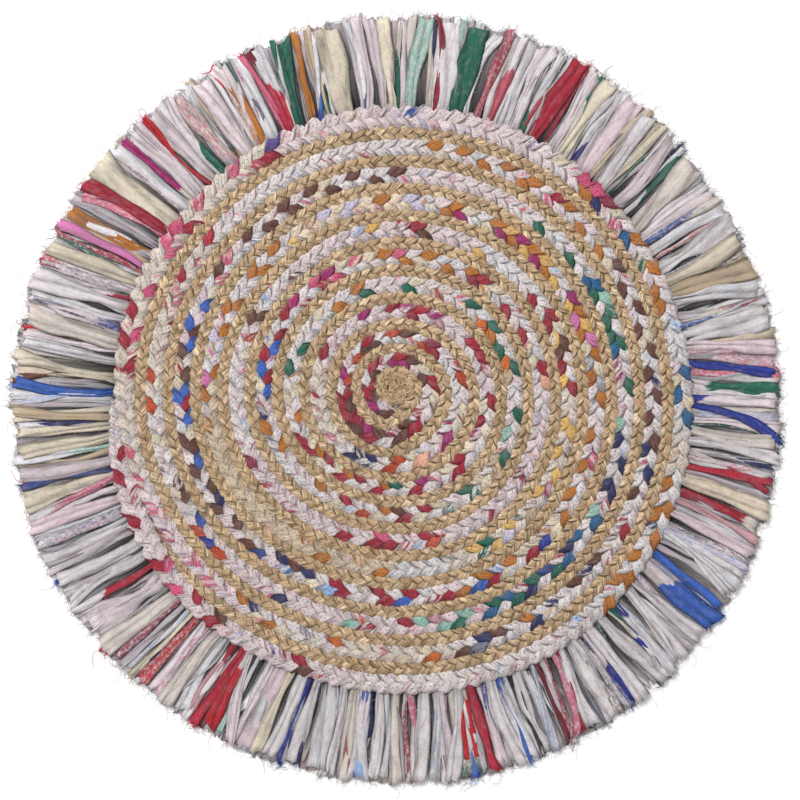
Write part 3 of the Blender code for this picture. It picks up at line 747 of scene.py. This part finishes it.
def plain_strips(count, layer, seed, tip_range):
    """Undyed strips spaced evenly round the rim, with chance differences; a few are stained.

    Of two values in brackets the first is for the layer underneath, the second for the filling.
    """
    chance = np.random.default_rng(seed)
    tip_half = chance.uniform(*tip_range, count)
    root = (np.arange(count) + chance.uniform(-0.35, 0.35, count)) * 360 / count
    grounds = colours("white", "cool", "blush", "oat", "mauve", "cool", "white")
    stains = colours("slate", "rose", "sky", "dusty", "navy", "tan")
    return {
        "root": root,
        "tip": root + chance.normal(0, (0.5, 1.1)[layer], count),
        "extra": chance.uniform(-0.013, -0.002, count),
        "root_half": tip_half * 0.50 * chance.uniform(0.85, 1.15, count),
        "tip_half": tip_half,
        "folds": chance.uniform(1.2, 3.0, count),
        "gather": chance.uniform(0.0012, 0.0028, count),
        "arch": chance.uniform(0.0004, 0.0018, count),
        "waist": np.where(chance.random(count) < 0.4, chance.uniform(0.2, 0.6, count), 0.0),
        # painted shade: how much darker the layer's strips are painted, more for the bottom layer
        "painted_under_shade": np.full(count, (0.92, 0.46)[layer]),
        "bend": chance.normal(0, (0.0020, 0.0040)[layer], count),
        "layer": np.full(count, float(layer)) + chance.uniform(-0.3, 0.3, count),
        "ground": grounds[chance.integers(0, len(grounds), count)] * chance.uniform(0.94, 1.05, (count, 1)),
        "dye": stains[chance.integers(0, len(stains), count)],
        "cover": np.where(chance.random(count) < 0.22, chance.uniform(0.36, 0.52, count), 0.0),
        "speckle": np.ones(count),
        "slant": np.zeros(count),
        # random tone, less 0.04 on the bottom layer as painted shade
        "tone": chance.uniform(0.82, 1.05, count) - (0.04, 0.0)[layer],
        "cover_from": np.where(chance.random(count) < 0.5, -1.0, 0.4),
        "cover_to": np.full(count, 2.0),
    }


def planned_strips(wanted_up, seed):
    """The strips of the fringe plan that lie over their neighbours, or the other ones."""
    entries = [entry.split() for entry in FRINGE_PLAN.replace("\n", " ").split(", ")]
    entries = [words for words in entries if ("up" in words) == wanted_up]
    chance = np.random.default_rng(seed)
    count = len(entries)
    def says(word):
        return np.array([word in words for words in entries])
    ends = np.array([[float(part) for part in words[0].split(">")] for words in entries])
    tip_half = np.array([float(words[1]) for words in entries]) * math.radians(1) * PLAN_RADIUS / 2
    names = [words[2] for words in entries]
    cover = np.array([0.0 if name in GROUNDS else PALETTE[name][3] for name in names])
    cover = np.where(says("print"), PRINT_COVER, np.where(says("worn"), WORN_COVER, cover))
    dye = colours(*names)
    pale = colours("white", "cool", "blush", "oat")
    ground = np.where(np.isin(names, GROUNDS)[:, None], dye, pale[chance.integers(0, 4, count)])
    dye_from, dye_to = np.full(count, -1.0), np.full(count, 2.0)
    for index, words in enumerate(entries):
        for word in words[3:]:
            if word[:4] == "root":
                dye_to[index] = float(word[4:]) / 100
            if word[:3] == "tip":
                dye_from[index] = 1 - float(word[3:]) / 100
    narrow = tip_half < NARROW
    return {
        "root": ends[:, 0],
        "tip": ends[:, 1],
        "extra": chance.uniform(-0.011, -0.001, count) - SHORTENED * says("short"),
        "root_half": tip_half * np.where(narrow, 0.80, 0.62),
        "tip_half": tip_half * 1.05,
        "folds": np.where(narrow, 0.9, 1.7) * chance.uniform(0.6, 1.4, count),
        "gather": np.where(narrow, 0.0014, 0.0022) * chance.uniform(0.6, 1.4, count),
        "arch": np.where(narrow, 0.0010, 0.0012) * chance.uniform(0.4, 1.4, count),
        "waist": np.where(chance.random(count) < 0.45, chance.uniform(0.15, 0.55, count), 0.0),
        "painted_under_shade": np.zeros(count),
        "bend": chance.normal(0, np.where(narrow, 0.0034, 0.0022), count),
        "layer": (3.0 if wanted_up else 1.9) + chance.uniform(-0.35, 0.35, count),
        "ground": ground * chance.uniform(0.95, 1.06, (count, 1)),
        "dye": dye * chance.uniform(0.9, 1.1, (count, 1)),
        "cover": cover,
        "speckle": (says("worn") | says("print")).astype(float),
        "slant": chance.uniform(-0.16, 0.16, count),
        "tone": chance.uniform(0.88, 1.07, count),
        "cover_from": dye_from,
        "cover_to": dye_to,
    }


# Loose threads

def thread_tubes(paths, radius):
    """Thin three-sided tubes along many paths of equal length."""
    forward = unit(np.gradient(paths, axis=1))
    up = np.broadcast_to(np.array((0, 0, 1.0)), forward.shape)
    side = unit(np.cross(forward, up) + 1e-6)
    over = np.cross(side, forward)
    turns = np.arange(3) * TAU / 3
    offset = (side[:, :, None, :] * np.cos(turns)[None, None, :, None]
              + over[:, :, None, :] * np.sin(turns)[None, None, :, None])
    taper = np.ones(paths.shape[1])
    taper[-1] = 0.4
    return paths[:, :, None, :] + offset * radius * taper[None, :, None, None]


def wandering(chance, start, heading, steps, paces, height):
    """Paths that walk on in equal level steps whose heading drifts, at a height that sinks a little."""
    count = len(start)
    curl = chance.normal(0, 0.45, (count, 1)) + chance.normal(0, 0.5, (count, steps))
    headings = heading[:, None] + np.cumsum(curl, axis=1)
    pace = chance.uniform(*paces, count)[:, None]
    paths = np.empty((count, steps + 1, 3))
    paths[:, 0] = start
    paths[:, 1:, 0] = start[:, :1] + np.cumsum(pace * np.cos(headings), axis=1)
    paths[:, 1:, 1] = start[:, 1:2] + np.cumsum(pace * np.sin(headings), axis=1)
    paths[:, 1:, 2] = height[:, None] * np.linspace(1, 0.6, steps)
    return paths


def thread_piece(name, paths, radius, slot, finish, tint):
    """Many thin threads as one piece, each with its own colour."""
    points = thread_tubes(paths, radius)
    count, rows, columns = points.shape[:3]
    faces = [grid_faces(count, rows, columns, True), *cap_faces(count, rows, columns)]
    piece_from(name, points, faces, slot, finish, ground=np.repeat(tint, rows * columns, axis=0))


def frayed_tips(name, surfaces, tints, finish, count, seed, steps, paces):
    """Threads that start anywhere on the cut ends of the strips and lead outwards."""
    chance = np.random.default_rng(seed)
    tips = surfaces[:, -1]
    which = chance.integers(0, len(tips), count)
    spot = chance.uniform(0, ACROSS - 1.001, count)
    low = spot.astype(int)
    part = (spot - low)[:, None]
    start = tips[which, low] * (1 - part) + tips[which, low + 1] * part
    outward = start[:, :2] - EYE
    heading = np.arctan2(outward[:, 1], outward[:, 0]) + chance.normal(0, 0.7, count)
    height = 0.0005 + np.abs(chance.normal(0, 0.0010, count))
    paths = wandering(chance, start, heading, steps, paces, height)
    # painted light: the threads are painted 1.30 times paler than their strip, up to 0.88
    painted_light_tints = np.minimum(tints[which] * 1.30, 0.88)
    thread_piece(name, paths, FRAYED_END_RADIUS, "fringe_rag", finish, painted_light_tints)


def frayed_sides(name, surfaces, tints, finish, count, seed):
    """Short threads that start anywhere on the long edges of the strips and lead away from them."""
    chance = np.random.default_rng(seed)
    which = chance.integers(0, len(surfaces), count)
    row = chance.integers(2, ALONG, count)
    side = chance.integers(0, 2, count) * (ACROSS - 1)
    start = surfaces[which, row, side]
    away = (start - surfaces[which, row, ACROSS // 2])[:, :2]
    onward = (surfaces[which, row] - surfaces[which, row - 1]).mean(axis=1)[:, :2]
    lead = unit(away) + chance.uniform(-0.3, 1.4, (count, 1)) * unit(onward)
    heading = np.arctan2(lead[:, 1], lead[:, 0])
    height = start[:, 2] + 0.0006
    paths = wandering(chance, start, heading, 3, (0.0006, 0.0016), height)
    thread_piece(name, paths, FRAYED_SIDE_RADIUS, "fringe_rag", finish, tints[which])


def eye_fibres(name, finish, count, seed):
    """Loose jute fibres curled round the eye: chance starts in a disc, led round it."""
    chance = np.random.default_rng(seed)
    radius = EYE_FUZZ * chance.random(count) ** 0.6
    bearing = chance.uniform(0, TAU, count)
    level = EYE + toward(bearing) * radius[:, None]
    height = chance.uniform(0.0066, 0.0090, count)
    start = np.c_[level, height * 0.9]
    heading = bearing - math.pi / 2 + chance.normal(0, 0.8, count)
    paths = wandering(chance, start, heading, 6, (0.0007, 0.0021), height * 1.15)
    # each fibre's own random tone, mostly raised above the jute's colour as painted light against the shade
    # the dense fibres cast on each other
    fibre_tints_with_painted_light = linear("jute")[None] * chance.uniform(0.80, 1.45, (count, 1))
    thread_piece(name, paths, FIBRE_RADIUS, "jute", finish, fibre_tints_with_painted_light)


def seam_thread(name, turned, radius, finish):
    """Zigzag sewing thread along a seam: the path steps from side to side at even hops."""
    hop = np.hypot(np.gradient(radius), radius * np.radians(np.gradient(turned)))
    along = np.cumsum(hop)
    at = np.arange(along[0], along[-1], SEAM_PITCH)
    swing = np.where(np.arange(len(at)) % 2 == 0, *SEAM_SWING)
    spot = place_on(np.interp(at, along, turned), np.interp(at, along, radius) + swing)
    level = SEAM_HEIGHT + 0.0002 * ripple(at / 0.01, 31)
    thread_piece(name, np.c_[spot, level][None], SEWING_RADIUS, "cotton_rag", finish, colours("cream"))


# Materials

class Finish:
    """A material under construction: its nodes and short ways to wire them."""

    def __init__(self, name, roughness, sheen=0.0):
        self.material = bpy.data.materials.new(name)
        self.material.use_nodes = True
        self.tree = self.material.node_tree
        self.shader = self.tree.nodes["Principled BSDF"]
        self.shader.inputs["Roughness"].default_value = roughness
        self.shader.inputs["Specular IOR Level"].default_value = 0.25
        self.shader.inputs["Sheen Weight"].default_value = sheen

    def add(self, kind, settings=None, **inputs):
        """A node with its properties set and its inputs given or linked."""
        node = self.tree.nodes.new(kind)
        for key, value in (settings or {}).items():
            setattr(node, key, value)
        for key, value in inputs.items():
            socket = node.inputs[int(key[1:])] if key[0] == "i" and key[1:].isdigit() else node.inputs[key]
            if isinstance(value, bpy.types.NodeSocket):
                self.tree.links.new(value, socket)
            else:
                socket.default_value = value
        return node

    def attribute(self, name, output="Fac"):
        """An attribute of the mesh, read as a number unless another output is named."""
        return self.add("ShaderNodeAttribute", {"attribute_name": name}).outputs[output]

    def noise(self, place, stretch, detail=2.0, seed=0.0):
        """Smooth noise with its grain stretched along each axis."""
        scaled = self.add("ShaderNodeVectorMath", {"operation": "MULTIPLY"}, i0=place, i1=stretch)
        moved = self.add("ShaderNodeVectorMath", {"operation": "ADD"}, i0=scaled.outputs[0], i1=(seed,) * 3)
        made = self.add("ShaderNodeTexNoise", None, Vector=moved.outputs[0], Scale=1.0, Detail=detail)
        return made.outputs["Fac"]

    def creases(self, place, stretch, seed, width):
        """Thin wandering lines: 1 where smooth noise is at its middle value, 0 away from there."""
        wander = self.noise(place, stretch, 2.0, seed)
        return self.ranged(self.math("ABSOLUTE", self.less(wander, 0.5)), 0.0, width, 1.0, 0.0)

    def math(self, operation, first, second=0.0):
        """One step of arithmetic."""
        return self.add("ShaderNodeMath", {"operation": operation}, i0=first, i1=second).outputs[0]

    def plus(self, first, second):
        """The sum of two numbers."""
        return self.math("ADD", first, second)

    def less(self, first, second):
        """The first number less the second."""
        return self.math("SUBTRACT", first, second)

    def times(self, first, second):
        """The product of two numbers."""
        return self.math("MULTIPLY", first, second)

    def between(self, share, first, second):
        """The first number moved a share of the way to the second."""
        return self.plus(first, self.times(share, self.less(second, first)))

    def ranged(self, value, low, high, to_low, to_high):
        """A value mapped from one range to another, and held there."""
        ends = {"From Min": low, "From Max": high, "To Min": to_low, "To Max": to_high}
        return self.add("ShaderNodeMapRange", None, Value=value, **ends).outputs[0]

    def mixed(self, share, first, second, blend="MIX"):
        """Two colours mixed."""
        node = self.add("ShaderNodeMix", {"data_type": "RGBA", "blend_type": blend})
        for socket, value in ((node.inputs[0], share), (node.inputs[6], first), (node.inputs[7], second)):
            if isinstance(value, bpy.types.NodeSocket):
                self.tree.links.new(value, socket)
            elif isinstance(value, (int, float)):
                socket.default_value = value
            else:
                socket.default_value = (*value, 1.0)
        return node.outputs[2]

    def stained(self, colour, pattern, low, high, share, tint):
        """A colour that takes on up to a share of a tint as a pattern rises from low to high."""
        return self.mixed(self.ranged(pattern, low, high, 0.0, share), colour, tint)

    def toned(self, colour, tone):
        """A colour made lighter or darker by a number."""
        shade = self.add("ShaderNodeCombineColor")
        for channel in range(3):
            self.tree.links.new(tone, shade.inputs[channel])
        return self.mixed(1.0, colour, shade.outputs[0], "MULTIPLY")

    def colour(self, socket):
        """Give the shader its colour."""
        self.tree.links.new(socket, self.shader.inputs["Base Color"])

    def bump(self, height, distance, strength=1.0):
        """Give the shader a bumpy surface."""
        node = self.add("ShaderNodeBump", None, Height=height, Distance=distance, Strength=strength)
        self.tree.links.new(node.outputs[0], self.shader.inputs["Normal"])


def jute_finish():
    """Plaited jute: pale and brown fibres along each strand, their colour following the fibres' height,
    partly the fibres' own colour and partly a painted highlight on the high fibres and painted shade on the
    low ones. Thin creases are painted dark as painted shade, and the tone attribute adds painted shade at
    each strand's edges.
    """
    finish = Finish("jute", 0.58)
    place = finish.attribute("weft", "Vector")
    fibres = finish.noise(place, (75, 820, 820), 2.0)
    coarse = finish.noise(place, (50, 330, 330), 2.0, 4.0)
    patches = finish.noise(place, (120, 160, 160), 3.0, 9.0)
    value = finish.plus(finish.times(fibres, 0.5), finish.times(coarse, 0.5))
    # fibre colour by the same value as the bump's height: dark brown on the low fibres, partly painted shade,
    # and pale gold on the high ones, partly a painted highlight
    colour = finish.stained((0.120, 0.062, 0.028), value, 0.30, 0.42, 1.0, (0.470, 0.318, 0.184))
    colour = finish.stained(colour, value, 0.50, 0.62, 1.0, (0.800, 0.640, 0.440))
    colour = finish.stained(colour, patches, 0.50, 0.70, 0.42, (0.33, 0.175, 0.080))
    lines = finish.creases(place, (110, 330, 330), 27.0, 0.024)
    # painted shade: the colour is darker along the crease lines, which the bump also sinks
    colour = finish.toned(colour, finish.ranged(lines, 0.0, 1.0, 1.0, 0.40))
    # the tone attribute: each lozenge's random tone with painted shade at the strand's edges
    finish.colour(finish.toned(colour, finish.attribute("tone")))
    height = finish.less(value, finish.times(lines, 0.25))
    finish.bump(finish.plus(height, finish.times(patches, 0.5)), 0.0013)
    return finish.material


# How the cloth of the plait and of the fringe's strips differ: the grain of each pattern, then
# how strong it is
CLOTH = {
    "rag_plait": {
        "blotch": (90, 200, 200), "soft": (34, 300, 300), "long": (50, 170, 170), "short": (150, 280, 280),
        "short_depth": 0.55, "crease_tone": 0.60, "crease_depth": 0.30, "weave_tones": (0.80, 1.14),
    },
    "rag_strip": {
        "blotch": (60, 210, 210), "soft": (16, 70, 70), "long": (10, 75, 75), "short": (45, 150, 150),
        "short_depth": 0.35, "crease_tone": 0.78, "crease_depth": 0.20, "weave_tones": (0.86, 1.09),
    },
}


def rag_finish(name):
    """Cotton rag: a pale mottled ground with dye in blotches, a fine weave, and creases painted darker as
    painted shade, with painted shade in the hollows of its soft folds.

    Dye shows where a blotchy noise plus the cover passes 1. The plait has needle holes, painted near black as
    painted shade in them, and the strips have stains and finer speckles where they are worn or printed.
    """
    cloth = CLOTH[name]
    stitched = name == "rag_plait"
    finish = Finish(name, 0.90, 0.05)
    place = finish.attribute("weft", "Vector")
    colour = finish.attribute("ground", "Color")
    dye = finish.attribute("dye", "Color")
    cover = finish.attribute("cover")
    worn = finish.noise(place, (110, 190, 190), 5.0, 8.0)
    colour = finish.stained(colour, worn, 0.46, 0.70, 0.40, (0.37, 0.32, 0.325))
    blush = finish.noise(place, (60, 110, 110), 4.0, 12.0)
    colour = finish.stained(colour, blush, 0.55, 0.72, 0.30, (0.62, 0.38, 0.43))
    blotch = finish.noise(place, cloth["blotch"], 5.0, 2.0)
    if not stitched:
        stain = finish.noise(place, (24, 50, 50), 3.0, 15.0)
        colour = finish.stained(colour, stain, 0.58, 0.74, 0.5, (0.33, 0.27, 0.22))
        speckle = finish.attribute("speckle")
        blotch = finish.between(speckle, blotch, finish.noise(place, (210, 420, 420), 6.0, 5.0))
    edge = finish.less(finish.plus(blotch, cover), 1.0)
    mask = finish.ranged(edge, -0.08, 0.08, 0.0, 0.97)
    if not stitched:
        mask = finish.between(speckle, mask, finish.ranged(edge, -0.16, 0.16, 0.0, 0.90))
    colour = finish.mixed(mask, colour, finish.stained(dye, worn, 0.48, 0.80, 0.22, (0.50, 0.44, 0.46)))
    soft = finish.noise(place, cloth["soft"], 3.0, 6.0)
    lines = finish.creases(place, cloth["long"], 21.0, 0.020)
    short = finish.creases(place, cloth["short"], 33.0, 0.014)
    lines = finish.math("MAXIMUM", lines, finish.times(short, cloth["short_depth"]))
    # painted shade: the colour is darker along the crease lines, which the bump also sinks
    dark = finish.toned(colour, finish.ranged(lines, 0.0, 1.0, 1.0, cloth["crease_tone"]))
    # painted shade: where the soft folds are lowest the colour is mixed towards dark grey
    colour = finish.mixed(finish.ranged(soft, 0.32, 0.46, 0.34, 0.0), dark, (0.16, 0.14, 0.15))
    weave = finish.noise(place, (720, 720, 720), 1.0, 3.0)
    colour = finish.toned(colour, finish.ranged(weave, 0.30, 0.64, *cloth["weave_tones"]))
    # the tone attribute: random tone with painted shade, and on the strips also painted light near their tips
    colour = finish.toned(colour, finish.attribute("tone"))
    height = finish.plus(soft, finish.times(weave, 0.15))
    height = finish.plus(height, finish.times(worn, 0.5))
    height = finish.less(height, finish.times(lines, cloth["crease_depth"]))
    if stitched:
        hole = needle_holes(finish)
        # painted shade: each needle hole's colour is mixed towards near black
        colour = finish.mixed(finish.times(hole, 0.72), colour, (0.05, 0.045, 0.045))
        height = finish.less(height, finish.times(hole, 0.35))
    finish.colour(colour)
    finish.bump(height, 0.0012)
    return finish.material


def needle_holes(finish):
    """Small round holes in a wobbling line along both edges of the plait, one for each stitch."""
    lay = finish.attribute("lay", "Vector")
    parts = finish.add("ShaderNodeSeparateXYZ", None, Vector=lay)
    wobble = finish.noise(lay, (60, 60, 60), 1.0)
    stitches = finish.math("DIVIDE", parts.outputs[0], HOLE_PITCH)
    along = finish.times(finish.less(finish.math("FRACT", stitches), 0.5), HOLE_PITCH)
    drift = finish.times(finish.less(wobble, 0.5), 0.003)
    across = finish.plus(finish.less(parts.outputs[1], HOLE_INSET), drift)
    away = finish.math("SQRT", finish.plus(finish.times(along, along), finish.times(across, across)))
    return finish.ranged(away, *HOLE_RADII, 1.0, 0.0)


def thread_finish(name):
    """Spun thread: fine flecks on each thread's own colour."""
    finish = Finish(name, 0.8)
    place = finish.add("ShaderNodeTexCoord").outputs["Object"]
    flecks = finish.noise(place, (2600, 2600, 2600), 1.0)
    own = finish.attribute("ground", "Color")
    finish.colour(finish.toned(own, finish.ranged(flecks, 0.38, 0.60, 0.80, 1.15)))
    finish.bump(flecks, 0.0001, 0.5)
    return finish.material


def floor_finish():
    """A pale even floor."""
    finish = Finish("pale_floor", 0.9)
    finish.shader.inputs["Base Color"].default_value = (0.96, 0.96, 0.96, 1.0)
    finish.shader.inputs["Specular IOR Level"].default_value = 0.0
    return finish.material


# Stage

def make_stage():
    """Floor, soft light from all round, one softbox, and the camera straight above."""
    corners = np.array(((-1, -1, 0), (1, -1, 0), (1, 1, 0), (-1, 1, 0))) * FLOOR_HALF
    mesh = bpy.data.meshes.new("floor")
    mesh.from_pydata(corners.tolist(), [], [(0, 1, 2, 3)])
    mesh.materials.append(floor_finish())
    placed("floor", mesh)
    world = bpy.data.worlds.new("studio")
    world.use_nodes = True
    sky = world.node_tree.nodes["Background"].inputs
    sky["Color"].default_value = (1.0, 1.0, 1.0, 1.0)
    sky["Strength"].default_value = ROOM_LIGHT
    bpy.context.scene.world = world
    softbox = bpy.data.lights.new("softbox", "AREA")
    softbox.shape = "DISK"
    softbox.size = SOFTBOX_WIDTH
    softbox.energy = SOFTBOX_WATTS
    lamp = placed("softbox", softbox)
    lamp.location = SOFTBOX_PLACE
    lamp.rotation_mode = "QUATERNION"
    lamp.rotation_quaternion = (-lamp.location).to_track_quat("-Z", "Y")
    view = bpy.data.cameras.new("camera")
    view.sensor_width = SENSOR_MM
    view.lens = SENSOR_MM * CAMERA_HEIGHT / VIEW_ACROSS
    view.clip_end = 50.0
    camera = placed("camera", view)
    camera.location = (*VIEW_CENTRE, CAMERA_HEIGHT)
    bpy.context.scene.camera = camera
    bpy.context.scene.view_settings.view_transform = "Standard"


def make_plaits(jute_rows, rag_rows):
    """Both plaits, with their colours, and the loose fibres over the eye."""
    jute_course = course_of(jute_rows, JUTE)
    rag_course = course_of(rag_rows, RAG)
    tones = np.random.default_rng(3).uniform(0.84, 1.20, (3, TONE_SPOTS))
    def jute_tones(number, counted, columns):
        own = tones[number][counted - counted.min()][:, None]
        # each lozenge's random tone, times painted shade that darkens the strand's two edges
        return {"tone": (own * round_tone(columns, 0.80)).ravel()}
    plait_pieces("jute", "jute_braid", jute_course, JUTE, "jute", jute_finish(), jute_tones)
    eye_fibres("eye_fibres", thread_finish("jute_fibre"), count=300, seed=64)
    table, ground, dye, cover = dyed_lozenges(rag_course)
    def rag_dyes_and_painted_edge_shade(number, counted, columns):
        mine = np.flatnonzero(table[:, 0] == number)
        at = mine[counted - int(table[mine, 1].min())]
        return {
            "ground": np.repeat(ground[at], columns, axis=0),
            "dye": np.repeat(dye[at], columns, axis=0),
            "cover": np.repeat(cover[at], columns),
            # the tone here is only painted shade, darkening the strand's two edges
            "tone": np.tile(round_tone(columns, 0.50), len(at)),
        }
    plait_pieces("rag", "rag_braid", rag_course, RAG, "cotton_rag", rag_finish("rag_plait"), rag_dyes_and_painted_edge_shade)


def make_fringe(rag_rows):
    """All the fringe: four layers of strips, and the threads at their ends and sides."""
    finish = rag_finish("rag_strip")
    layers = (
        ("fringe_under", plain_strips(count=165, layer=0, seed=41, tip_range=(0.0100, 0.0135)), 51),
        ("fringe_filling", plain_strips(count=90, layer=1, seed=42, tip_range=(0.0035, 0.0070)), 52),
        ("fringe_lower", planned_strips(wanted_up=False, seed=43), 53),
        ("fringe_upper", planned_strips(wanted_up=True, seed=44), 54),
    )
    made = [strip_piece(name, rag_rows, strips, finish, seed) for name, strips, seed in layers]
    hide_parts("fringe")
    surfaces, tints = (np.concatenate(parts) for parts in zip(*made))
    pale = thread_finish("frayed_cotton")
    frayed_tips("frayed_ends", surfaces, tints, pale, count=3200, seed=61, steps=4, paces=(0.0009, 0.0029))
    frayed_tips("loose_threads", surfaces, tints, pale, count=420, seed=62, steps=9, paces=(0.0011, 0.0028))
    planned = len(made[0][0]) + len(made[1][0])
    frayed_sides("frayed_edges", surfaces[planned:], tints[planned:], pale, count=1100, seed=63)


def make_seams(jute_rows, rag_rows):
    """The sewing thread along both sides of the rag plait.

    The inner seam stops just before the jute ends, and the outer one a turn before the rag
    does, as nothing lies outside its last turn.
    """
    finish = thread_finish("sewing_thread")
    seams = (("seam_inner", 1, jute_rows[-1, 0] - 4), ("seam_outer", 2, rag_rows[-1, 0] - 360))
    for name, edge, last in seams:
        turned = np.arange(RAG_JOINS + SEAM_SLACK, last, 0.5)
        seam_thread(name, turned, np.interp(turned, rag_rows[:, 0], rag_rows[:, edge]), finish)


def main():
    """Dress the rug."""
    jute_rows = windings("jute_braid", 0)
    rag_rows = windings("rag_braid", RAG_JOINS)
    make_plaits(jute_rows, rag_rows)
    make_fringe(rag_rows)
    make_seams(jute_rows, rag_rows)
    make_stage()


main()
